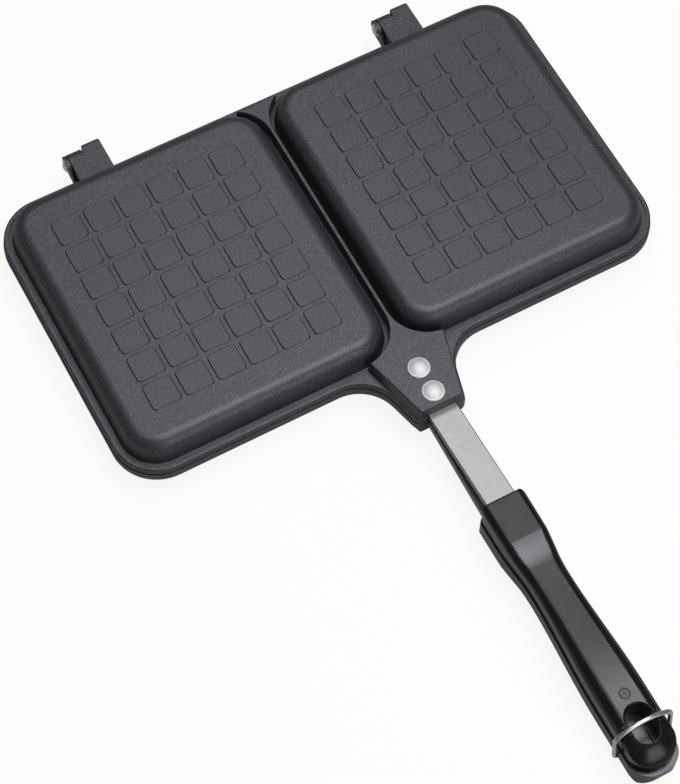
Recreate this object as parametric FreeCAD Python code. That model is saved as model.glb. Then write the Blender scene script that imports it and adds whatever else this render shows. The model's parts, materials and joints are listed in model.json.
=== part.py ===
import FreeCAD, Part
import math
import os

from FreeCAD import Vector

# Double campfire sandwich press, closed and lying on its lower half.
# Working frame: X across, Y from the handles (-) to the hinges (+), Z up, with Y = 0 on the
# centre line of the two bread chambers and Z = 0 on the parting plane of the two halves.
# Every piece is moved at the end, so that the origin sits under the centre of the bounding box.

# Bread chambers
CHAMBER_SPACING = 138.2     # centre to centre, across the press
DOME_HALF_X = 66.7          # foot of a dome, on the parting plane
DOME_HALF_Y = 74.6
DOME_CORNER = 18.5          # plan radius of the foot
DOME_HEIGHT = 16.4          # parting plane to the flat outer face
DRAFT_DEG = 10.0
SHOULDER_RADIUS = 7.0
WALL = 3.0
HALF_GAP = 0.15             # each half's share of the gap at the rim

# Raised squares on the outer faces
TILE_COLUMNS = 6
TILE_ROWS = 7
TILE_PITCH_X = 16.3
TILE_PITCH_Y = 16.0
TILE_SIZE_X = 14.0          # half way up its sloping sides
TILE_SIZE_Y = 13.7
TILE_CORNER = 2.0
TILE_HEIGHT = 0.6
TILE_SLOPE = 0.5            # how much wider each side is at its foot than at its top

# Rim round both chambers
RIM_MARGIN = 3.5            # from the foot of the domes to the edge of the upper rim
RIM_HEIGHT_UPPER = 4.0
RIM_HEIGHT_LOWER = 5.0
RIM_STEP = 0.5              # the lower rim stands out this much further
RIM_EDGE_RADIUS = 0.9
GROOVE_WIDTH = 1.4          # groove round the foot of each dome
GROOVE_DEPTH = 0.9

# Raised rib between the domes and the boss that holds the tang
BOSS_HEIGHT = 10.5
BOSS_REACH = 30.6           # beyond the rim
BOSS_HALF_FRONT = 10.5      # half width of the top face at its front
BOSS_TAPER = 0.26           # half width gained per millimetre towards the chambers
BOSS_DRAFT = 2.0            # how much wider the boss is at the parting plane
BOSS_CORNER_TOP = 1.2       # plan radius of its two front corners
BOSS_CORNER_FOOT = 4.0
BOSS_FILLET = 20.5          # plan radius from the rim into the boss
BOSS_EDGE_RADIUS = 0.6
RIB_END_INSET = 1.5         # the rib stops this far inside the feet of the domes

# Steel tangs
TANG_WIDTH = 14.5
TANG_THICKNESS = 3.0
TANG_TOP_IN_BOSS = 4.85     # outer face above the parting plane
TANG_TOP_AT_HANDLE = 8.75
TANG_TOP_IN_GRIP = 4.4
TANG_FREE_LENGTH = 53.2     # boss to handle
TANG_IN_BOSS = 27.0
TANG_IN_HANDLE = 76.0
TANG_CRANK_START = 2.0      # inside the handle
TANG_CRANK_END = 30.0
TANG_EDGE_RADIUS = 0.5
SLOT_CLEARANCE = 0.1

# Rivets through boss and tang
RIVET_SHANK_RADIUS = 2.5
RIVET_HEAD_RADIUS = 5.3
RIVET_RIM = 0.8
RIVET_DOME_RADIUS = 4.6
RIVET_DOME_HEIGHT = 1.5
RIVET_TAIL_RADIUS = 4.0
RIVET_TAIL = 1.2
RIVET_FIRST = 6.8           # front of the boss to the front rivet
RIVET_X = -0.8              # the rivets sit a little to the left of the centre line
RIVET_SPACING = 13.3
HOLE_CLEARANCE = 0.05

# Handles
HANDLE_LENGTH = 135.7
HANDLE_GAP = 1.2            # between the two mating faces
HANDLE_TOP = 12.0           # outer face of the front block above the parting plane
HANDLE_HALF_FRONT = 10.87   # half width of the front block
HANDLE_HALF_END = 11.2      # half width at the rear
HANDLE_SLIM = 1.9           # how much narrower than the block each side is at the slimmest place
HANDLE_DIP = 2.0            # drop of the outer face behind the front block
HANDLE_END_DROP = 0.2       # the rear of the outer face is this much below the block
FACET_HALF_BLOCK = 7.6
FACET_HALF_GRIP = 4.9
FACET_HALF_END = 6.2
SIDE_TOP_BLOCK = 8.8
SIDE_TOP_GRIP = 7.0
BLOCK_LENGTH = 21.7
RAMP_LENGTH = 13.6
SLIM_AT = 43.0              # from the front of the handle
WIDE_AGAIN_AT = 102.0
NARROWING_FROM = 17.0
HANDLE_FRONT_CORNER = 3.5
HANDLE_END_CORNER = 10.0
HANDLE_EDGE_RADIUS = 1.2    # along the edge of the front of the block
HANDLE_FOOT_CHAMFER = 0.6
LOWER_HANDLE_MARGIN = 0.6   # the lower handle is wider on each side
LOWER_HANDLE_DEEPER = 1.0
LOWER_HANDLE_LONGER = 2.7
LOWER_END_ROUND = 9.0       # radius of its end, seen from the side

# Hanging slot and moulding mark in the upper handle
SLOT_LENGTH = 18.0
SLOT_WIDTH = 12.0
SLOT_CENTRE_TO_END = 17.4
SLOT_LIP = 0.8
MARK_TO_END = 32.2
MARK_RADIUS = 2.5
MARK_LINE = 0.55
MARK_DEPTH = 0.35
MARK_DOT_RADIUS = 0.7

# Pocket in the lower handle under the hanging slot, with a thin rib in it
POCKET_LEDGE = 0.9          # the pocket is smaller than the slot by this much all round
POCKET_DEPTH = 1.6
POCKET_RIB_X = 3.4
POCKET_RIB_WIDTH = 0.8
POCKET_RIB_FROM_CENTRE = 1.0

# Handle screws and their inserts
SCREW_FROM_FRONT = (40.0, 66.0)
SCREW_RADIUS = 2.0
SCREW_HEAD_RADIUS = 3.9
SCREW_HEAD_HEIGHT = 1.9
INSERT_RADIUS = 3.0
INSERT_LENGTH = 3.6
SCREW_END_ROOM = 0.4
SOCKET_RADIUS = 1.2
SOCKET_DEPTH = 1.1

# Locking bail on the lower handle
WIRE_RADIUS = 1.1
BAIL_PIVOT_BELOW = 5.5      # below the parting plane
BAIL_PIVOT_TO_END = 14.5    # pivot to the end of the upper handle
BAIL_LEG_X = 13.7
BAIL_CLEARANCE = 1.55       # between the wire and the end of the upper handle as it swings
BAIL_ARCH_RADIUS = 22.0
BAIL_CORNER_RADIUS = 3.5
BAIL_FOOT_RADIUS = 1.9
BAIL_HOLE_DEPTH = 4.0
BAIL_LEAN_DEG = 8.5         # towards the chambers when locked
NUB_RADIUS = 1.2
NUB_X = 8.4
NUB_GAP = 0.3

# Hinges
HINGE_SPACING = 167.8       # centre to centre of the two tabs
HINGE_BEHIND_RIM = 10.0     # axis behind the edge of the upper rim
HINGE_ABOVE = 3.0           # axis above the parting plane
HINGE_RADIUS = 5.0
TAB_LEFT = 8.3              # width of a tab on either side of its place
TAB_RIGHT = 9.2
TAIL_REACH = 5.4            # behind the axis
TAIL_FOOT = 1.5             # below the axis
TAIL_CORNER = 2.2
NOTCH_LEFT = -0.9           # slot between barrel and tail, from the place of the tab
NOTCH_RIGHT = -0.3
EAR_THICKNESS = 1.3
EAR_GAP = 0.5
EAR_RIM_GAP = 0.35          # between the ear and the edge of the upper rim
TONGUE_THICKNESS = 4.0
TONGUE_REACH = 4.4          # behind the axis
OPEN_DEG = 105.0
PIN_RADIUS = 2.0
PIN_CLEARANCE = 0.06
PIN_HEAD_RADIUS = 3.3
PIN_HEAD_HEIGHT = 1.8

OUT_DIR = "parts"

# Places that follow from the sizes above
DRAFT = math.tan(math.radians(DRAFT_DEG))
OUTER_HEIGHT = DOME_HEIGHT + TILE_HEIGHT
UP = Vector(0, 0, 1)
RIM_HALF_X = CHAMBER_SPACING / 2 + DOME_HALF_X + RIM_MARGIN
RIM_HALF_Y = DOME_HALF_Y + RIM_MARGIN
BOSS_FRONT_Y = -(RIM_HALF_Y + BOSS_REACH)
HANDLE_FRONT_Y = BOSS_FRONT_Y - TANG_FREE_LENGTH
UPPER_END_Y = HANDLE_FRONT_Y - HANDLE_LENGTH
LOWER_END_Y = UPPER_END_Y - LOWER_HANDLE_LONGER
BAIL_Y = UPPER_END_Y + BAIL_PIVOT_TO_END
BAIL_END_SWEEP = HANDLE_TOP - HANDLE_END_DROP + BAIL_PIVOT_BELOW
BAIL_CREST = BAIL_END_SWEEP + BAIL_CLEARANCE + WIRE_RADIUS
HINGE_Y = RIM_HALF_Y + HINGE_BEHIND_RIM
RIVET_YS = [BOSS_FRONT_Y + RIVET_FIRST + i * RIVET_SPACING for i in range(2)]
SCREW_YS = [HANDLE_FRONT_Y - d for d in SCREW_FROM_FRONT]
MID_Y = (HINGE_Y + TAIL_REACH + LOWER_END_Y) / 2


def box(x0, x1, y0, y1, z0, z1):
    return Part.makeBox(x1 - x0, y1 - y0, z1 - z0, Vector(x0, y0, z0))


def rounded_rectangle(half_x, half_y, radius, z, x=0.0, y=0.0):
    """Closed outline of four lines and four quarter arcs, in a level plane."""
    cx = half_x - radius
    cy = half_y - radius
    edges = []
    for i, (sx, sy) in enumerate([(1, 1), (-1, 1), (-1, -1), (1, -1)]):
        a = math.radians(90 * i)
        c = Vector(x + sx * cx, y + sy * cy, z)
        start = c + Vector(math.cos(a), math.sin(a), 0) * radius
        middle = c + Vector(math.cos(a + math.pi / 4), math.sin(a + math.pi / 4), 0) * radius
        end = c + Vector(-math.sin(a), math.cos(a), 0) * radius
        edges.append(Part.Arc(start, middle, end).toShape())
    lines = []
    for i in range(4):
        lines.append(Part.makeLine(edges[i].valueAt(edges[i].LastParameter),
                                   edges[(i + 1) % 4].valueAt(edges[(i + 1) % 4].FirstParameter)))
    return Part.Wire([e for pair in zip(edges, lines) for e in pair])


def prism(wire, height):
    return Part.Face(wire).extrude(Vector(0, 0, height))


def corner_arc(before, corner, after, radius):
    """Start, middle and end of the arc that rounds the corner between two neighbours."""
    back = (before - corner).normalize()
    ahead = (after - corner).normalize()
    half_angle = math.acos(back.dot(ahead)) / 2
    tangent = radius / math.tan(half_angle)
    middle = corner + (back + ahead).normalize() * (radius / math.sin(half_angle) - radius)
    return corner + back * tangent, middle, corner + ahead * tangent


def level_edges(shape, z):
    """Edges that lie in the level plane at height z."""
    return [e for e in shape.Edges
            if abs(e.BoundBox.ZMin - z) < 1e-4 and abs(e.BoundBox.ZMax - z) < 1e-4]


def drafted_block(half_x, half_y, corner, height, top_radius, x):
    """Block with its foot at z = 0, walls that lean in and a rounded shoulder."""
    lean = height * DRAFT
    foot = rounded_rectangle(half_x, half_y, corner, 0, x)
    top = rounded_rectangle(half_x - lean, half_y - lean, corner - lean, height, x)
    block = Part.makeLoft([foot, top], True, True)
    return block.makeFillet(top_radius, level_edges(block, height))


def chamber_centres():
    return [-CHAMBER_SPACING / 2, CHAMBER_SPACING / 2]


def dome(x):
    return drafted_block(DOME_HALF_X, DOME_HALF_Y, DOME_CORNER, DOME_HEIGHT, SHOULDER_RADIUS, x)


def bread_space(x):
    return drafted_block(DOME_HALF_X - WALL, DOME_HALF_Y - WALL, DOME_CORNER - WALL,
                         DOME_HEIGHT - WALL, SHOULDER_RADIUS - WALL, x)


def tile_outline(x, y, rise):
    """Outline of one raised square at the given height above the outer face."""
    out = TILE_SLOPE * (0.5 - rise / TILE_HEIGHT)
    return rounded_rectangle(TILE_SIZE_X / 2 + out, TILE_SIZE_Y / 2 + out, TILE_CORNER + out,
                             DOME_HEIGHT + rise, x, y)


def tiles(x):
    """The raised squares of one dome, each with its foot sunk in the wall."""
    blocks = []
    for column in range(TILE_COLUMNS):
        for row in range(TILE_ROWS):
            tx = x + (column - (TILE_COLUMNS - 1) / 2) * TILE_PITCH_X
            ty = (row - (TILE_ROWS - 1) / 2) * TILE_PITCH_Y
            outlines = [tile_outline(tx, ty, rise) for rise in (-TILE_HEIGHT, TILE_HEIGHT)]
            blocks.append(Part.makeLoft(outlines, True, True))
    return blocks


def mirrored(point):
    """The same point on the other side of the centre line."""
    return Vector(-point.x, point.y, point.z)


def boss_half_width(y, height):
    """Half width of the boss at a place and height; it is widest at the parting plane."""
    top = BOSS_HALF_FRONT + BOSS_TAPER * (y - BOSS_FRONT_Y)
    return top + BOSS_DRAFT * (1 - height / BOSS_HEIGHT)


def boss_outline(height, back_y):
    """Outline of the boss at a height: straight sides and two rounded front corners."""
    above = height / BOSS_HEIGHT
    front_y = BOSS_FRONT_Y - BOSS_DRAFT / 2 * (1 - above)
    corner = BOSS_CORNER_FOOT + (BOSS_CORNER_TOP - BOSS_CORNER_FOOT) * above
    back = Vector(boss_half_width(back_y, height), back_y, height)
    front = Vector(boss_half_width(front_y, height), front_y, height)
    right = [back, *corner_arc(back, front, mirrored(front), corner)]
    left = [mirrored(p) for p in reversed(right)]
    return Part.Wire([
        Part.makeLine(right[0], right[1]),
        Part.Arc(right[1], right[2], right[3]).toShape(),
        Part.makeLine(right[3], left[0]),
        Part.Arc(left[0], left[1], left[2]).toShape(),
        Part.makeLine(left[2], left[3]),
        Part.makeLine(left[3], right[0])])


def rib_and_boss():
    """Boss block, the rib between the domes and the webs at both ends of it."""
    rib_end = DOME_HALF_Y - RIB_END_INSET
    block = Part.makeLoft([boss_outline(0, -DOME_HALF_Y / 2), boss_outline(BOSS_HEIGHT, -DOME_HALF_Y / 2)],
                          True, True)
    reach = CHAMBER_SPACING / 2 - DOME_HALF_X + DOME_CORNER
    middle = box(-reach, reach, -DOME_HALF_Y + DOME_CORNER, rib_end, 0, BOSS_HEIGHT)
    block = block.fuse(middle).removeSplitter()
    for x in chamber_centres():
        block = block.cut(groove_block(x, 0))
    return block.makeFillet(BOSS_EDGE_RADIUS, level_edges(block, BOSS_HEIGHT))


def groove_block(x, floor):
    """Space of a dome and the groove round its foot, from the given height up."""
    outline = rounded_rectangle(DOME_HALF_X + GROOVE_WIDTH, DOME_HALF_Y + GROOVE_WIDTH,
                                DOME_CORNER + GROOVE_WIDTH, floor, x)
    return prism(outline, 2 * DOME_HEIGHT)


def boss_flange_outline(extra):
    """Rim material that runs out into the boss, with concave arcs at both sides."""
    rim_y = -RIM_HALF_Y - extra
    front_y = BOSS_FRONT_Y - BOSS_DRAFT / 2
    front = Vector(boss_half_width(front_y, 0) + extra, front_y, 0)
    corner = Vector(boss_half_width(rim_y, 0) + extra, rim_y, 0)
    right = [*corner_arc(corner + Vector(1, 0, 0), corner, front, BOSS_FILLET),
             *corner_arc(corner, front, mirrored(front), BOSS_CORNER_FOOT)]
    left = [mirrored(p) for p in reversed(right)]
    inside = -DOME_HALF_Y / 2
    return Part.Wire([
        Part.Arc(*right[:3]).toShape(),
        Part.makeLine(right[2], right[3]),
        Part.Arc(*right[3:]).toShape(),
        Part.makeLine(right[5], left[0]),
        Part.Arc(*left[:3]).toShape(),
        Part.makeLine(left[2], left[3]),
        Part.Arc(*left[3:]).toShape(),
        Part.makeLine(left[5], Vector(left[5].x, inside, 0)),
        Part.makeLine(Vector(left[5].x, inside, 0), Vector(right[0].x, inside, 0)),
        Part.makeLine(Vector(right[0].x, inside, 0), right[0])])


def rim(height, extra):
    outline = rounded_rectangle(RIM_HALF_X + extra, RIM_HALF_Y + extra,
                                DOME_CORNER + RIM_MARGIN + extra, 0)
    slab = prism(outline, height)
    slab = slab.fuse(prism(boss_flange_outline(extra), height)).removeSplitter()
    return slab.makeFillet(RIM_EDGE_RADIUS, level_edges(slab, height))


def tang_line(offset):
    """Points (y, z) along the outer face of the tang, moved down by the offset."""
    points = [(BOSS_FRONT_Y + TANG_IN_BOSS, TANG_TOP_IN_BOSS),
              (BOSS_FRONT_Y, TANG_TOP_IN_BOSS),
              (HANDLE_FRONT_Y, TANG_TOP_AT_HANDLE),
              (HANDLE_FRONT_Y - TANG_CRANK_START, TANG_TOP_AT_HANDLE),
              (HANDLE_FRONT_Y - TANG_CRANK_END, TANG_TOP_IN_GRIP),
              (HANDLE_FRONT_Y - TANG_IN_HANDLE, TANG_TOP_IN_GRIP)]
    return [Vector(0, y, z - offset) for y, z in points]


def strip(top, bottom, half_width):
    """Solid of constant width between two lines of points in the YZ plane."""
    outline = Part.makePolygon(top + bottom[::-1] + top[:1])
    solid = Part.Face(outline).extrude(Vector(2 * half_width, 0, 0))
    solid.translate(Vector(-half_width, 0, 0))
    return solid


def upright(radius, y, z0, z1, x=0.0):
    return Part.makeCylinder(radius, z1 - z0, Vector(x, y, z0))


def tang():
    solid = strip(tang_line(0), tang_line(TANG_THICKNESS), TANG_WIDTH / 2)
    across = [e for e in solid.Edges if e.BoundBox.XLength < 1e-4 and e.BoundBox.YLength > 1e-4]
    solid = solid.makeFillet(TANG_EDGE_RADIUS, across)
    for y in RIVET_YS:
        solid = solid.cut(upright(RIVET_SHANK_RADIUS + HOLE_CLEARANCE, y, 0, DOME_HEIGHT, RIVET_X))
    for y in SCREW_YS:
        solid = solid.cut(upright(SCREW_RADIUS + HOLE_CLEARANCE, y, 0, DOME_HEIGHT))
        solid = solid.cut(screw_head_cone(y, HOLE_CLEARANCE))
    return solid


def tang_channel(front_y, back_y):
    """Slot that takes the tang, open towards the parting plane, between two places."""
    top = tang_line(0)
    bottom = [Vector(0, p.y, -HANDLE_TOP) for p in top]
    top[0].y = bottom[0].y = top[0].y + SLOT_CLEARANCE
    top[-1].y = bottom[-1].y = top[-1].y - SLOT_CLEARANCE
    slot = strip(top, bottom, TANG_WIDTH / 2 + SLOT_CLEARANCE)
    return slot.common(box(-TANG_WIDTH, TANG_WIDTH, front_y, back_y, -HANDLE_TOP, HANDLE_TOP))


def rivet(y):
    """Domed head on the boss, shank through boss and tang, and a flat tail below."""
    head = upright(RIVET_HEAD_RADIUS, y, BOSS_HEIGHT, BOSS_HEIGHT + RIVET_RIM, RIVET_X)
    head = head.makeFillet(RIVET_RIM / 2, level_edges(head, BOSS_HEIGHT + RIVET_RIM))
    sphere = (RIVET_DOME_RADIUS ** 2 + RIVET_DOME_HEIGHT ** 2) / (2 * RIVET_DOME_HEIGHT)
    top = BOSS_HEIGHT + RIVET_RIM + RIVET_DOME_HEIGHT
    cap = Part.makeSphere(sphere, Vector(RIVET_X, y, top - sphere))
    cap = cap.common(upright(RIVET_DOME_RADIUS, y, BOSS_HEIGHT + RIVET_RIM / 2, top, RIVET_X))
    under = TANG_TOP_IN_BOSS - TANG_THICKNESS
    shank = upright(RIVET_SHANK_RADIUS, y, under, BOSS_HEIGHT, RIVET_X)
    tail = upright(RIVET_TAIL_RADIUS, y, under - RIVET_TAIL, under, RIVET_X)
    return head.fuse([cap, shank, tail]).removeSplitter()


def half_plate(rim_height, rim_extra):
    """One cast half, with its outer face up and its rim on the parting plane."""
    plate = rim(rim_height, rim_extra).fuse(rib_and_boss())
    for x in chamber_centres():
        plate = plate.cut(groove_block(x, rim_height - GROOVE_DEPTH))
    plate = plate.fuse([dome(x).fuse(tiles(x)) for x in chamber_centres()])
    for x in chamber_centres():
        plate = plate.cut(bread_space(x))
    plate = plate.cut(tang_channel(BOSS_FRONT_Y - TANG_FREE_LENGTH / 2, 0))
    for y in RIVET_YS:
        plate = plate.cut(upright(RIVET_SHANK_RADIUS + HOLE_CLEARANCE, y, 0, BOSS_HEIGHT + 1, RIVET_X))
    below = box(-RIM_HALF_X - WALL, RIM_HALF_X + WALL, 2 * BOSS_FRONT_Y, HINGE_Y, -1, HALF_GAP)
    return plate.cut(below).removeSplitter()


def flip(shape):
    """Mirror image in the parting plane."""
    return shape.mirror(Vector(0, 0, 0), UP)


def hinge_centres():
    return [-HINGE_SPACING / 2, HINGE_SPACING / 2]


def along_x(radius, x0, x1, y, z):
    return Part.makeCylinder(radius, x1 - x0, Vector(x0, y, z), Vector(1, 0, 0))


def hinge_tab(x):
    """Tab on the upper half: a barrel on its left and a longer tail on its right."""
    left = x - TAB_LEFT
    right = x + TAB_RIGHT
    top = HINGE_ABOVE + HINGE_RADIUS
    root_y = DOME_HALF_Y - WALL
    foot = 2 * HALF_GAP
    web = box(left, right, root_y, HINGE_Y, foot, top)
    barrel = along_x(HINGE_RADIUS, left, x + NOTCH_LEFT, HINGE_Y, HINGE_ABOVE)
    barrel_web = box(left, x + NOTCH_LEFT, HINGE_Y - HINGE_RADIUS, HINGE_Y, foot, top)
    tail = box(x + NOTCH_RIGHT, right, HINGE_Y - HINGE_RADIUS / 2, HINGE_Y + TAIL_REACH,
               HINGE_ABOVE - TAIL_FOOT, top)
    corners = [e for e in tail.Edges
               if abs(e.BoundBox.YMin - HINGE_Y - TAIL_REACH) < 1e-4
               and (e.BoundBox.ZLength > 1 or abs(e.BoundBox.ZMin - top) < 1e-4)]
    tail = tail.makeFillet(TAIL_CORNER, corners)
    return web.fuse([barrel, barrel_web, tail]).removeSplitter()


def hinge_bore(x):
    return along_x(PIN_RADIUS + PIN_CLEARANCE, x - TAB_LEFT - 1, x + NOTCH_LEFT / 2 + NOTCH_RIGHT / 2,
                   HINGE_Y, HINGE_ABOVE)


def tail_stop_depth():
    """How far below the axis the tail's top corner lands when the lid is fully open."""
    corner = math.hypot(TAIL_REACH, HINGE_RADIUS)
    angle = math.atan2(HINGE_RADIUS, TAIL_REACH)
    return corner * math.sin(math.radians(OPEN_DEG) - angle)


def ear_faces(x):
    """Outer and inner face of the ear, across the press."""
    inner = x - TAB_LEFT - EAR_GAP
    return inner - EAR_THICKNESS, inner


def tangent_point(y, z, side):
    """Where a line from (y, z) touches the round end of the ear; side is 1 for the lower line."""
    dy = y - HINGE_Y
    dz = z - HINGE_ABOVE
    angle = math.atan2(dz, dy) + side * math.acos(HINGE_RADIUS / math.hypot(dy, dz))
    return (HINGE_Y + HINGE_RADIUS * math.cos(angle), HINGE_ABOVE + HINGE_RADIUS * math.sin(angle))


def hinge_bracket(x):
    """Tongue under the tab and thin ear at its left, both part of the lower half."""
    outer, inner = ear_faces(x)
    stop = HINGE_ABOVE - tail_stop_depth()
    root_y = RIM_HALF_Y - WALL
    tongue = box(x - TAB_LEFT, x + TAB_RIGHT, root_y, HINGE_Y + TONGUE_REACH,
                 stop - TONGUE_THICKNESS, stop)
    rim_back = RIM_HALF_Y + RIM_STEP
    rim_foot = -RIM_HEIGHT_LOWER + RIM_EDGE_RADIUS
    top_start = (rim_back + EAR_RIM_GAP, -HALF_GAP)
    low_start = (rim_back, rim_foot)
    line = [(root_y, -HALF_GAP), top_start, tangent_point(*top_start, -1), (HINGE_Y, HINGE_ABOVE),
            tangent_point(*low_start, 1), low_start, (root_y, rim_foot)]
    points = [Vector(outer, y, z) for y, z in line]
    arm = Part.Face(Part.makePolygon(points + points[:1])).extrude(Vector(inner - outer, 0, 0))
    ear = arm.fuse(along_x(HINGE_RADIUS, outer, inner, HINGE_Y, HINGE_ABOVE))
    return tongue.fuse(ear).removeSplitter()


def ear_hole(x):
    outer, inner = ear_faces(x)
    return along_x(PIN_RADIUS, outer - 1, inner + EAR_GAP / 2, HINGE_Y, HINGE_ABOVE)


def hinge_pin(x):
    """Domed pin, riveted into the ear and turning in the barrel."""
    face = ear_faces(x)[0]
    sphere = (PIN_HEAD_RADIUS ** 2 + PIN_HEAD_HEIGHT ** 2) / (2 * PIN_HEAD_HEIGHT)
    ball = Part.makeSphere(sphere, Vector(face - PIN_HEAD_HEIGHT + sphere, HINGE_Y, HINGE_ABOVE))
    head = ball.common(along_x(PIN_HEAD_RADIUS, face - PIN_HEAD_HEIGHT, face, HINGE_Y, HINGE_ABOVE))
    shank = along_x(PIN_RADIUS, face, x + NOTCH_LEFT, HINGE_Y, HINGE_ABOVE)
    return head.fuse(shank).removeSplitter()


def upper_plate():
    plate = half_plate(RIM_HEIGHT_UPPER, 0.0)
    for x in hinge_centres():
        plate = plate.fuse(hinge_tab(x).cut(bread_space_at(x)))
        plate = plate.cut(hinge_bore(x))
    return plate.removeSplitter()


def bread_space_at(x):
    """The bread space of the chamber on the same side as x."""
    return bread_space(math.copysign(CHAMBER_SPACING / 2, x))


def lower_plate():
    plate = flip(half_plate(RIM_HEIGHT_LOWER, RIM_STEP))
    for x in hinge_centres():
        plate = plate.fuse(hinge_bracket(x).cut(flip(bread_space_at(x))))
        plate = plate.cut(ear_hole(x))
    return plate.removeSplitter()


def ease(t):
    """Smooth step from 0 to 1."""
    return (1 - math.cos(math.pi * min(1.0, max(0.0, t)))) / 2


def handle_half_width(s):
    """Half width at distance s from the front: narrow behind the block, wide at the end."""
    slim = HANDLE_HALF_FRONT - HANDLE_SLIM
    if s < SLIM_AT:
        t = (s - NARROWING_FROM) / (SLIM_AT - NARROWING_FROM)
        return HANDLE_HALF_FRONT - HANDLE_SLIM * ease(t)
    t = (s - SLIM_AT) / (WIDE_AGAIN_AT - SLIM_AT)
    return slim + (HANDLE_HALF_END - slim) * ease(t)


def handle_top(s):
    """Height of the facet: level on the block, a hollow ramp down, then a slow rise."""
    ramp_end = BLOCK_LENGTH + RAMP_LENGTH
    if s <= ramp_end:
        left = 1 - min(1.0, max(0.0, (s - BLOCK_LENGTH) / RAMP_LENGTH))
        return HANDLE_TOP - HANDLE_DIP * (1 - left ** 2)
    rise = ease((s - ramp_end) / (WIDE_AGAIN_AT - ramp_end))
    return HANDLE_TOP - HANDLE_DIP + (HANDLE_DIP - HANDLE_END_DROP) * rise


def facet_half(s):
    ramp_end = BLOCK_LENGTH + RAMP_LENGTH
    if s <= ramp_end:
        t = min(1.0, max(0.0, (s - BLOCK_LENGTH) / RAMP_LENGTH))
        return FACET_HALF_BLOCK + (FACET_HALF_GRIP - FACET_HALF_BLOCK) * t
    t = min(1.0, (s - ramp_end) / (WIDE_AGAIN_AT - ramp_end))
    return FACET_HALF_GRIP + (FACET_HALF_END - FACET_HALF_GRIP) * t


def side_top(s):
    t = min(1.0, max(0.0, (s - BLOCK_LENGTH) / RAMP_LENGTH))
    return SIDE_TOP_BLOCK + (SIDE_TOP_GRIP - SIDE_TOP_BLOCK) * t


def handle_section(s, wider, deeper):
    """Closed cross-section: flat facet, rounded shoulders, upright sides, flat mating face."""
    w = handle_half_width(s) + wider
    f = facet_half(s) + wider / 2
    top = handle_top(s) + deeper
    side = side_top(s) + deeper
    foot = HANDLE_GAP / 2
    c = HANDLE_FOOT_CHAMFER
    y = HANDLE_FRONT_Y - s
    right = [Vector(w - c, y, foot), Vector(w, y, foot + c), Vector(w, y, side), Vector(f, y, top)]
    chord = right[3] - right[2]
    bulge = Vector(chord.z, 0, -chord.x).normalize() * (0.17 * chord.Length)
    shoulder = (right[2] + right[3]) / 2 + bulge
    left = [Vector(-p.x, p.y, p.z) for p in right]
    left_shoulder = Vector(-shoulder.x, shoulder.y, shoulder.z)
    return Part.Wire([
        Part.makeLine(left[0], right[0]),
        Part.makeLine(right[0], right[1]),
        Part.makeLine(right[1], right[2]),
        Part.Arc(right[2], shoulder, right[3]).toShape(),
        Part.makeLine(right[3], left[3]),
        Part.Arc(left[3], left_shoulder, left[2]).toShape(),
        Part.makeLine(left[2], left[1]),
        Part.makeLine(left[1], left[0])])


def upright_edges(shape, y):
    """Vertical edges that stand at the given place along the handle."""
    return [e for e in shape.Edges
            if e.BoundBox.ZLength > 1 and e.BoundBox.YLength < 1e-4 and abs(e.CenterOfMass.y - y) < 1e-4]


def edge_trim(radius, end_y, top, inward):
    """What has to go to round the outer edge at one end; inward is 1 at the rear, -1 in front."""
    y = end_y + inward * radius
    z = top - radius
    near, far = sorted((y, end_y - inward))
    drum = along_x(radius, -DOME_HALF_X, DOME_HALF_X, y, z)
    return box(-DOME_HALF_X, DOME_HALF_X, near, far, z, top + 1).cut(drum)


def handle_body(wider, deeper, longer):
    """Front block, ramp and grip, then the plan corners are rounded."""
    ramp_end = BLOCK_LENGTH + RAMP_LENGTH
    length = HANDLE_LENGTH + longer
    grip = [ramp_end + (WIDE_AGAIN_AT - ramp_end) * i / 6 for i in range(7)]
    spans = [[0, NARROWING_FROM / 2, BLOCK_LENGTH],
             [BLOCK_LENGTH, BLOCK_LENGTH + RAMP_LENGTH / 2, ramp_end],
             grip + [(WIDE_AGAIN_AT + length) / 2, length]]
    lofts = [Part.makeLoft([handle_section(s, wider, deeper) for s in span], True, False)
             for span in spans]
    body = lofts[0].fuse(lofts[1:])
    front = HANDLE_HALF_FRONT + wider
    rear = HANDLE_HALF_END + wider
    slim_y = HANDLE_FRONT_Y - SLIM_AT
    corners = box(-front, front, slim_y, HANDLE_FRONT_Y, -DOME_HEIGHT, DOME_HEIGHT).fuse(
        box(-rear, rear, HANDLE_FRONT_Y - length, slim_y, -DOME_HEIGHT, DOME_HEIGHT))
    corners = corners.makeFillet(HANDLE_FRONT_CORNER, upright_edges(corners, HANDLE_FRONT_Y))
    corners = corners.makeFillet(HANDLE_END_CORNER + wider, upright_edges(corners, HANDLE_FRONT_Y - length))
    front_edge = edge_trim(HANDLE_EDGE_RADIUS, HANDLE_FRONT_Y, HANDLE_TOP + deeper, -1)
    return body.common(corners).cut(front_edge)


def slot_outline(half_length, half_width, y, z):
    a = half_length - half_width
    front = Vector(0, y - a, z)
    back = Vector(0, y + a, z)
    side = Vector(half_width, 0, 0)
    end = Vector(0, half_width, 0)
    return Part.Wire([
        Part.makeLine(front + side, back + side),
        Part.Arc(back + side, back + end, back - side).toShape(),
        Part.makeLine(back - side, front - side),
        Part.Arc(front - side, front - end, front + side).toShape()])


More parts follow.
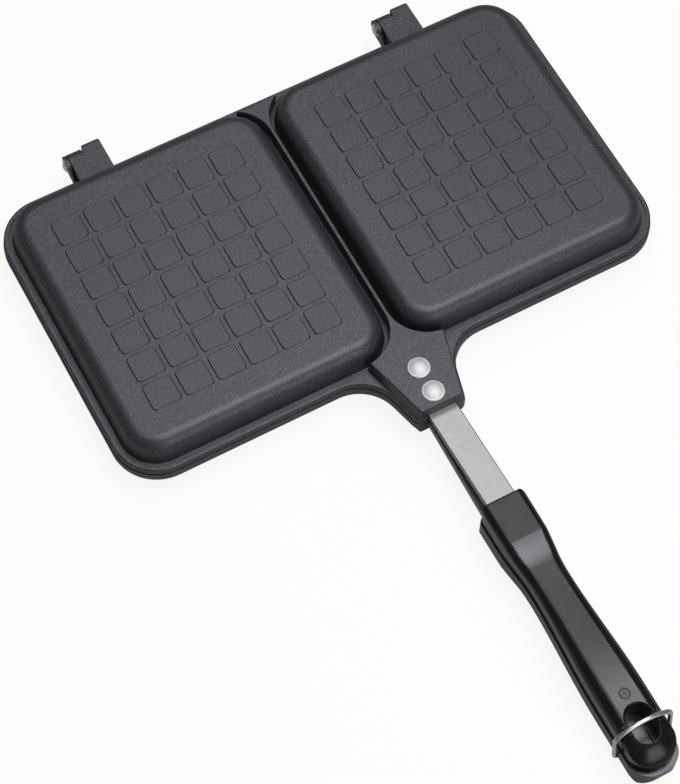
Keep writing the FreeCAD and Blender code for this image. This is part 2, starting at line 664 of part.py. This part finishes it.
def hanging_slot():
    """Slot through the upper handle, with a lip that flares out at the top."""
    y = UPPER_END_Y + SLOT_CENTRE_TO_END
    top = HANDLE_TOP - HANDLE_END_DROP
    straight = prism(slot_outline(SLOT_LENGTH / 2, SLOT_WIDTH / 2, y, 0), 2 * HANDLE_TOP)
    flare = Part.makeLoft(
        [slot_outline(SLOT_LENGTH / 2, SLOT_WIDTH / 2, y, top - SLOT_LIP),
         slot_outline(SLOT_LENGTH / 2 + 2 * SLOT_LIP, SLOT_WIDTH / 2 + 2 * SLOT_LIP, y, top + SLOT_LIP)],
        True, True)
    return straight.fuse(flare)


def moulding_mark():
    """Plain ring with a dot, sunk in the outer face."""
    y = UPPER_END_Y + MARK_TO_END
    floor = HANDLE_TOP - HANDLE_END_DROP - MARK_DEPTH
    ring = upright(MARK_RADIUS, y, floor, HANDLE_TOP).cut(
        upright(MARK_RADIUS - MARK_LINE, y, floor, HANDLE_TOP))
    return ring.fuse(upright(MARK_DOT_RADIUS, y, floor, HANDLE_TOP))


def beyond_pivot(z):
    """Everything on the far side of the bail's pivot, round the given height."""
    reach = 2 * BAIL_END_SWEEP
    return box(-reach, reach, BAIL_Y - reach, BAIL_Y, z - reach, z + reach)


def bail_sweep_trim():
    """What has to go from the end of the upper handle, so that the wire can pass it."""
    half = HANDLE_HALF_END + WIRE_RADIUS
    radius = BAIL_ARCH_RADIUS - WIRE_RADIUS - BAIL_CLEARANCE
    centre = BAIL_END_SWEEP - radius
    side = centre + math.sqrt(radius ** 2 - half ** 2)
    points = [Vector(-half, 0, 0), Vector(-half, 0, side), Vector(half, 0, side), Vector(half, 0, 0)]
    arch = Part.Arc(points[1], Vector(0, 0, BAIL_END_SWEEP), points[2]).toShape()
    outline = Part.Wire([Part.makeLine(points[0], points[1]), arch,
                         Part.makeLine(points[2], points[3]), Part.makeLine(points[3], points[0])])
    drum = Part.Face(outline).revolve(Vector(0, 0, 0), Vector(1, 0, 0), 360)
    drum.translate(Vector(0, BAIL_Y, -BAIL_PIVOT_BELOW))
    return beyond_pivot(-BAIL_PIVOT_BELOW).cut(drum)


def slot_pocket():
    """Shallow pocket seen through the hanging slot, with a thin lengthwise rib."""
    y = UPPER_END_Y + SLOT_CENTRE_TO_END
    foot = HANDLE_GAP / 2
    outline = slot_outline(SLOT_LENGTH / 2 - POCKET_LEDGE, SLOT_WIDTH / 2 - POCKET_LEDGE, y, 0)
    pocket = prism(outline, foot + POCKET_DEPTH)
    rib = box(POCKET_RIB_X, POCKET_RIB_X + POCKET_RIB_WIDTH, y - SLOT_LENGTH, y + POCKET_RIB_FROM_CENTRE,
              -1, foot + POCKET_DEPTH)
    return pocket.cut(rib)


def nubs():
    """Small bumps that keep the wire from sliding towards the chambers."""
    lean = math.radians(BAIL_LEAN_DEG)
    z = HANDLE_TOP - NUB_RADIUS
    wire_y = BAIL_Y + (z + BAIL_PIVOT_BELOW) * math.tan(lean) + WIRE_RADIUS / math.cos(lean)
    y = wire_y + NUB_GAP + NUB_RADIUS
    return [Part.makeSphere(NUB_RADIUS, Vector(x, y, z - NUB_RADIUS / 2)) for x in (-NUB_X, NUB_X)]


def insert_pocket(y):
    return upright(INSERT_RADIUS, y, TANG_TOP_IN_GRIP, TANG_TOP_IN_GRIP + INSERT_LENGTH)


def handle(wider, deeper, longer):
    """Handle half with the channel for the tang and the pockets for its inserts."""
    body = handle_body(wider, deeper, longer)
    body = body.cut(tang_channel(UPPER_END_Y, HANDLE_FRONT_Y + 1))
    for y in SCREW_YS:
        body = body.cut(insert_pocket(y))
    return body


def upper_handle():
    body = handle(0.0, 0.0, 0.0)
    body = body.cut(bail_sweep_trim())
    body = body.fuse(nubs())
    body = body.cut(hanging_slot()).cut(moulding_mark())
    return body.removeSplitter()


def lower_handle():
    body = handle(LOWER_HANDLE_MARGIN, LOWER_HANDLE_DEEPER, LOWER_HANDLE_LONGER)
    outer = HANDLE_TOP - HANDLE_END_DROP + LOWER_HANDLE_DEEPER
    body = body.cut(edge_trim(LOWER_END_ROUND, LOWER_END_Y, outer, 1))
    body = flip(body.cut(slot_pocket()))
    half = HANDLE_HALF_END + LOWER_HANDLE_MARGIN
    for x0, x1 in ((-half - 1, -half + BAIL_HOLE_DEPTH), (half - BAIL_HOLE_DEPTH, half + 1)):
        body = body.cut(along_x(WIRE_RADIUS + HOLE_CLEARANCE, x0, x1, BAIL_Y, -BAIL_PIVOT_BELOW))
    return body.removeSplitter()


def screw_head_cone(y, clearance):
    under = TANG_TOP_IN_GRIP - TANG_THICKNESS
    return Part.makeCone(SCREW_HEAD_RADIUS + clearance, SCREW_RADIUS, SCREW_HEAD_HEIGHT + clearance,
                         Vector(0, y, under))


def screw(y):
    """Countersunk screw from the mating face through the tang into its insert."""
    under = TANG_TOP_IN_GRIP - TANG_THICKNESS
    tip = TANG_TOP_IN_GRIP + INSERT_LENGTH - SCREW_END_ROOM
    solid = screw_head_cone(y, 0).fuse(upright(SCREW_RADIUS, y, under, tip))
    socket = Part.makePolygon([Vector(SOCKET_RADIUS * math.cos(math.radians(60 * i)),
                                      y + SOCKET_RADIUS * math.sin(math.radians(60 * i)), under)
                               for i in range(7)])
    return solid.cut(prism(socket, SOCKET_DEPTH)).removeSplitter()


def insert(y):
    """Threaded sleeve in the handle above the tang."""
    sleeve = insert_pocket(y)
    return sleeve.cut(upright(SCREW_RADIUS, y, TANG_TOP_IN_GRIP, TANG_TOP_IN_GRIP + INSERT_LENGTH))


def bail():
    """Round wire: two feet in the lower handle, two legs and a shallow arch."""
    arch_centre = BAIL_CREST - BAIL_ARCH_RADIUS
    corner_x = BAIL_LEG_X - BAIL_CORNER_RADIUS
    reach = BAIL_ARCH_RADIUS - BAIL_CORNER_RADIUS
    corner_r = arch_centre + math.sqrt(reach ** 2 - corner_x ** 2)
    scale = BAIL_ARCH_RADIUS / reach
    meet = (corner_x * scale, arch_centre + (corner_r - arch_centre) * scale)
    half = math.atan2(corner_r - arch_centre, corner_x) / 2
    corner_mid = (corner_x + BAIL_CORNER_RADIUS * math.cos(half),
                  corner_r + BAIL_CORNER_RADIUS * math.sin(half))
    foot_mid = (BAIL_LEG_X - BAIL_FOOT_RADIUS * (1 - math.sqrt(0.5)),
                BAIL_FOOT_RADIUS * (1 - math.sqrt(0.5)))
    tip_x = HANDLE_HALF_END + LOWER_HANDLE_MARGIN - BAIL_HOLE_DEPTH + HOLE_CLEARANCE
    right = [(tip_x, 0), (BAIL_LEG_X - BAIL_FOOT_RADIUS, 0), foot_mid, (BAIL_LEG_X, BAIL_FOOT_RADIUS),
             (BAIL_LEG_X, corner_r), corner_mid, meet]
    r = [Vector(x, 0, z) for x, z in right]
    left = [Vector(-x, 0, z) for x, z in right]
    path = Part.Wire([
        Part.makeLine(r[0], r[1]),
        Part.Arc(r[1], r[2], r[3]).toShape(),
        Part.makeLine(r[3], r[4]),
        Part.Arc(r[4], r[5], r[6]).toShape(),
        Part.Arc(r[6], Vector(0, 0, BAIL_CREST), left[6]).toShape(),
        Part.Arc(left[6], left[5], left[4]).toShape(),
        Part.makeLine(left[4], left[3]),
        Part.Arc(left[3], left[2], left[1]).toShape(),
        Part.makeLine(left[1], left[0])])
    section = Part.Wire([Part.makeCircle(WIRE_RADIUS, r[0], Vector(1, 0, 0))])
    wire = path.makePipeShell([section], True, False)
    wire.rotate(Vector(0, 0, 0), Vector(1, 0, 0), -BAIL_LEAN_DEG)
    wire.translate(Vector(0, BAIL_Y, -BAIL_PIVOT_BELOW))
    return wire


def build():
    """Every sub-part by name, in the working frame."""
    nodes = {
        "upper_plate": upper_plate(),
        "lower_plate": lower_plate(),
        "upper_tang": tang(),
        "lower_tang": flip(tang()),
        "upper_handle": upper_handle(),
        "lower_handle": lower_handle(),
        "lock_bail": bail(),
    }
    for side, x in zip(("left", "right"), hinge_centres()):
        nodes["hinge_pin_" + side] = hinge_pin(x)
    for place, y in zip(("front", "rear"), RIVET_YS):
        nodes["upper_rivet_" + place] = rivet(y)
        nodes["lower_rivet_" + place] = flip(rivet(y))
    for place, y in zip(("front", "rear"), SCREW_YS):
        nodes["upper_handle_screw_" + place] = screw(y)
        nodes["lower_handle_screw_" + place] = flip(screw(y))
        nodes["upper_handle_insert_" + place] = insert(y)
        nodes["lower_handle_insert_" + place] = flip(insert(y))
    return nodes


def main():
    os.makedirs(OUT_DIR, exist_ok=True)
    for name, shape in build().items():
        shape.translate(Vector(0, -MID_Y, OUTER_HEIGHT))
        shape.exportStep(os.path.join(OUT_DIR, name + ".step"))
        bb = shape.BoundBox
        print("%-28s solids %d valid %s volume %.1f box %.1f %.1f %.1f .. %.1f %.1f %.1f"
              % (name, len(shape.Solids), shape.isValid(), shape.Volume,
                 bb.XMin, bb.YMin, bb.ZMin, bb.XMax, bb.YMax, bb.ZMax))


main()
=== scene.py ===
import json
import math

import bpy
from mathutils import Euler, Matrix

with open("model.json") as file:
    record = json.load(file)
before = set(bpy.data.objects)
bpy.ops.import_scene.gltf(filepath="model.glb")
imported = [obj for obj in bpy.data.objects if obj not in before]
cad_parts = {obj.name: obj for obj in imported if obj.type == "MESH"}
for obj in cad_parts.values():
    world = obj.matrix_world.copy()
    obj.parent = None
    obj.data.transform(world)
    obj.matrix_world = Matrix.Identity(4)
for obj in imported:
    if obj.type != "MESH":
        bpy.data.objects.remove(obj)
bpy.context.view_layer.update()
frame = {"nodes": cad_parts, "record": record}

MM = 0.001

# Camera of the photograph, in metres and degrees
CAMERA_PLACE = (-0.27087, -0.40144, 0.97857)
CAMERA_TURN = (26.8886, -0.2923, -28.2922)
CAMERA_LENS = 108.842
SENSOR = 36.0

# Surroundings: how white each one is in the picture and in reflections
WORLD_LIGHT = 0.06
WORLD_IN_GLOSS = 0.16
FLOOR_WHITE = 0.90
FLOOR_IN_GLOSS = 0.13
FLOOR_HALF = 6.0

BLUE = (0.93, 0.96, 1.09)
NEUTRAL = (1.0, 1.0, 1.0)


class Graph:
    """A node tree, with short calls for adding and joining nodes."""

    def __init__(self, tree):
        self.tree = tree
        self.tree.nodes.clear()

    def add(self, kind, inputs=None, **settings):
        node = self.tree.nodes.new(kind)
        for key, value in settings.items():
            setattr(node, key, value)
        for key, value in (inputs or {}).items():
            self.feed(node.inputs[key], value)
        return node

    def feed(self, socket, value):
        if isinstance(value, bpy.types.NodeSocket):
            self.tree.links.new(value, socket)
        else:
            socket.default_value = value

    def place(self, stretch=(1, 1, 1)):
        """Object coordinates in metres, stretched."""
        coords = self.add("ShaderNodeTexCoord")
        mapping = self.add("ShaderNodeMapping", {"Vector": coords.outputs["Object"], "Scale": stretch})
        return mapping.outputs["Vector"]

    def noise(self, size_mm, detail=2.0, rough=0.5, stretch=(1, 1, 1)):
        """Noise with features of about the given size."""
        node = self.add("ShaderNodeTexNoise", {
            "Vector": self.place(stretch), "Scale": 1 / (size_mm * MM), "Detail": detail,
            "Roughness": rough})
        return node.outputs["Fac"]

    def ramp(self, fac, stops):
        node = self.add("ShaderNodeValToRGB", {"Fac": fac})
        elements = node.color_ramp.elements
        while len(elements) < len(stops):
            elements.new(0.5)
        for element, (place, colour) in zip(elements, stops):
            element.position = place
            element.color = colour
        return node.outputs["Color"]

    def spread(self, fac, low, high, start=0.3, end=0.7):
        node = self.add("ShaderNodeMapRange", {
            "Value": fac, "From Min": start, "From Max": end, "To Min": low, "To Max": high})
        return node.outputs["Result"]

    def mix(self, fac, a, b):
        node = self.add("ShaderNodeMix", data_type="RGBA")
        self.feed(node.inputs["Factor"], fac)
        self.feed(node.inputs[6], a)
        self.feed(node.inputs[7], b)
        return node.outputs[2]

    def bump(self, height, strength, distance_mm, normal=None):
        node = self.add("ShaderNodeBump", {
            "Height": height, "Strength": strength, "Distance": distance_mm * MM})
        if normal is not None:
            self.feed(node.inputs["Normal"], normal)
        return node.outputs["Normal"]

    def soft_edges(self, radius_mm):
        """Normals as if every edge had a small radius."""
        return self.add("ShaderNodeBevel", {"Radius": radius_mm * MM}, samples=4).outputs["Normal"]

    def background_share(self, light, seen, mirrored):
        """One value for light, one for what the camera sees and one for reflections and glass."""
        path = self.add("ShaderNodeLightPath")
        gloss = self.add("ShaderNodeMath", {0: path.outputs["Is Glossy Ray"],
                                            1: path.outputs["Is Transmission Ray"]}, operation="MAXIMUM")
        base = self.add("ShaderNodeMapRange", {
            "Value": gloss.outputs[0], "To Min": light, "To Max": mirrored})
        full = self.add("ShaderNodeMapRange", {
            "Value": path.outputs["Is Camera Ray"], "To Min": base.outputs[0], "To Max": seen})
        return full.outputs[0]


def grey(value, tint=NEUTRAL):
    return (value * tint[0], value * tint[1], value * tint[2], 1)


def new_material(name):
    material = bpy.data.materials.new(name)
    material.use_nodes = True
    return material, Graph(material.node_tree)


def surface(name, paint):
    """Material whose Principled shader takes the sockets that paint(graph) returns."""
    material, g = new_material(name)
    shader = g.add("ShaderNodeBsdfPrincipled", paint(g))
    output = g.add("ShaderNodeOutputMaterial")
    g.tree.links.new(shader.outputs["BSDF"], output.inputs["Surface"])
    return material


# Materials

def coated_cast(g):
    """Dark non-stick coating on a casting: speckled, slightly blue, with an orange-peel skin."""
    speckle = g.noise(0.85, detail=3, rough=0.75)
    cloud = g.noise(22, detail=3)
    base = g.ramp(speckle, [(0.34, grey(0.006, BLUE)), (0.50, grey(0.018, BLUE)), (0.66, grey(0.065, BLUE))])
    base = g.mix(g.spread(cloud, 0.0, 0.35), base, grey(0.014, BLUE))
    normal = g.bump(g.noise(1.1), 0.5, 0.14)
    normal = g.bump(g.noise(0.4), 0.45, 0.06, normal)
    return {"Base Color": base, "Roughness": g.spread(speckle, 0.52, 0.38), "Normal": normal,
            "Specular IOR Level": 0.72, "Specular Tint": (0.88, 0.90, 1.0, 1)}


def handle_plastic(g):
    """Black heat-resistant moulding with a fine satin texture."""
    fine = g.noise(0.7, detail=3, rough=0.7)
    wear = g.noise(9, detail=3)
    base = g.ramp(fine, [(0.35, grey(0.003)), (0.70, grey(0.008, BLUE))])
    return {"Base Color": base, "Roughness": g.spread(wear, 0.17, 0.25),
            "Normal": g.bump(fine, 0.55, 0.08, g.soft_edges(0.5)), "Specular IOR Level": 0.4,
            "Specular Tint": (0.94, 0.94, 1.0, 1)}


def rolled_strip(g):
    """Bright rolled steel with fine lines along the strip and faint stains."""
    lines = g.noise(0.25, detail=3, stretch=(12, 1, 12))
    stain = g.noise(2.5, detail=4, rough=0.7)
    base = g.ramp(stain, [(0.35, grey(0.245)), (0.65, grey(0.285))])
    base = g.mix(g.spread(lines, 0.0, 0.25), base, grey(0.24))
    return {"Base Color": base, "Metallic": 1.0, "Roughness": g.spread(lines, 0.30, 0.42),
            "Normal": g.bump(lines, 0.15, 0.03)}


def bright_metal(tint, rough, size_mm, edge_mm=0.2):
    """Turned, drawn or headed metal with faint marks."""
    def paint(g):
        marks = g.noise(size_mm, detail=3, rough=0.6)
        base = g.ramp(marks, [(0.3, grey(0.86, tint)), (0.7, grey(1.0, tint))])
        return {"Base Color": base, "Metallic": 1.0, "Roughness": g.spread(marks, rough, rough + 0.10),
                "Normal": g.bump(marks, 0.10, 0.03, g.soft_edges(edge_mm))}
    return paint


FINISHES = {
    "coated_cast": coated_cast,
    "handle_plastic": handle_plastic,
    "strap_steel": rolled_strip,
    "rivet_steel": bright_metal((0.78, 0.78, 0.79), 0.66, 0.9, edge_mm=0.9),
    "pin_steel": bright_metal((0.85, 0.85, 0.84), 0.30, 1.5),
    "screw_steel": bright_metal((0.68, 0.68, 0.66), 0.35, 0.8),
    "insert_brass": bright_metal((0.78, 0.60, 0.29), 0.35, 0.8),
    "wire_steel": bright_metal((0.60, 0.60, 0.58), 0.24, 2.0),
}


def dress():
    """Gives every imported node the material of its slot."""
    materials = {slot: surface(slot, paint) for slot, paint in FINISHES.items()}
    for part in frame["record"]["subparts"]:
        mesh = frame["nodes"][part["node"]].data
        mesh.materials.clear()
        mesh.materials.append(materials[part["material_slot"]])


# Surroundings

def floor_material():
    material, g = new_material("studio_floor")
    shade = g.ramp(g.noise(400, detail=1), [(0.3, grey(0.80)), (0.7, grey(0.84))])
    # Painted shade: light bounces and reflections see the floor as a darker grey (0.40) instead of its own
    # tone, so the object's walls, sides and undersides stay dark; the camera still sees the pale tone.
    shade = g.mix(g.background_share(0.0, 1.0, 0.0), grey(0.40), shade)
    diffuse = g.add("ShaderNodeBsdfDiffuse", {"Color": shade})
    white = g.add("ShaderNodeEmission", {"Color": grey(1.0), "Strength": 1.0})
    mixed = g.add("ShaderNodeMixShader", {0: g.background_share(0.0, FLOOR_WHITE, FLOOR_IN_GLOSS)})
    output = g.add("ShaderNodeOutputMaterial")
    g.tree.links.new(diffuse.outputs[0], mixed.inputs[1])
    g.tree.links.new(white.outputs[0], mixed.inputs[2])
    g.tree.links.new(mixed.outputs[0], output.inputs["Surface"])
    return material


def make_floor():
    corners = [(x * FLOOR_HALF, y * FLOOR_HALF, 0) for x, y in ((-1, -1), (1, -1), (1, 1), (-1, 1))]
    mesh = bpy.data.meshes.new("floor")
    mesh.from_pydata(corners, [], [(0, 1, 2, 3)])
    mesh.materials.append(floor_material())
    floor = bpy.data.objects.new("floor", mesh)
    bpy.context.scene.collection.objects.link(floor)


def make_world():
    world = bpy.data.worlds.new("studio")
    world.use_nodes = True
    g = Graph(world.node_tree)
    strength = g.background_share(WORLD_LIGHT, 1.0, WORLD_IN_GLOSS)
    background = g.add("ShaderNodeBackground", {"Color": grey(1.0), "Strength": strength})
    output = g.add("ShaderNodeOutputWorld")
    g.tree.links.new(background.outputs[0], output.inputs["Surface"])
    bpy.context.scene.world = world


def softbox(name, place, size, power, tilt=0):
    """Area lamp at a place, facing down, or up to the horizon where it is tilted by 90 degrees."""
    data = bpy.data.lights.new(name, "AREA")
    data.shape = "RECTANGLE"
    data.size, data.size_y = size
    data.energy = power
    lamp = bpy.data.objects.new(name, data)
    bpy.context.scene.collection.objects.link(lamp)
    lamp.location = place
    lamp.rotation_euler = (math.radians(tilt), 0, 0)


def make_camera():
    data = bpy.data.cameras.new("camera")
    data.lens = CAMERA_LENS
    data.sensor_width = SENSOR
    data.sensor_fit = "AUTO"
    data.clip_start = 0.05
    data.clip_end = 50
    camera = bpy.data.objects.new("camera", data)
    camera.location = CAMERA_PLACE
    camera.rotation_euler = Euler([math.radians(a) for a in CAMERA_TURN], "XYZ")
    bpy.context.scene.collection.objects.link(camera)
    bpy.context.scene.camera = camera


dress()
make_floor()
make_world()
softbox("main_box", (0.33, -0.10, 1.50), (0.66, 0.74), 14.2)
softbox("middle_box", (0.30, 0.45, 1.50), (0.6, 0.4), 1.2)
softbox("rear_box", (0.30, 0.97, 1.50), (0.6, 0.6), 4.6)
softbox("left_box", (-0.28, 0.05, 1.50), (0.3, 1.0), 2.5)
softbox("front_box", (0.25, -1.60, 0.95), (1.2, 1.3), 12.0, tilt=90)
make_camera()
bpy.context.scene.view_settings.view_transform = "Standard"
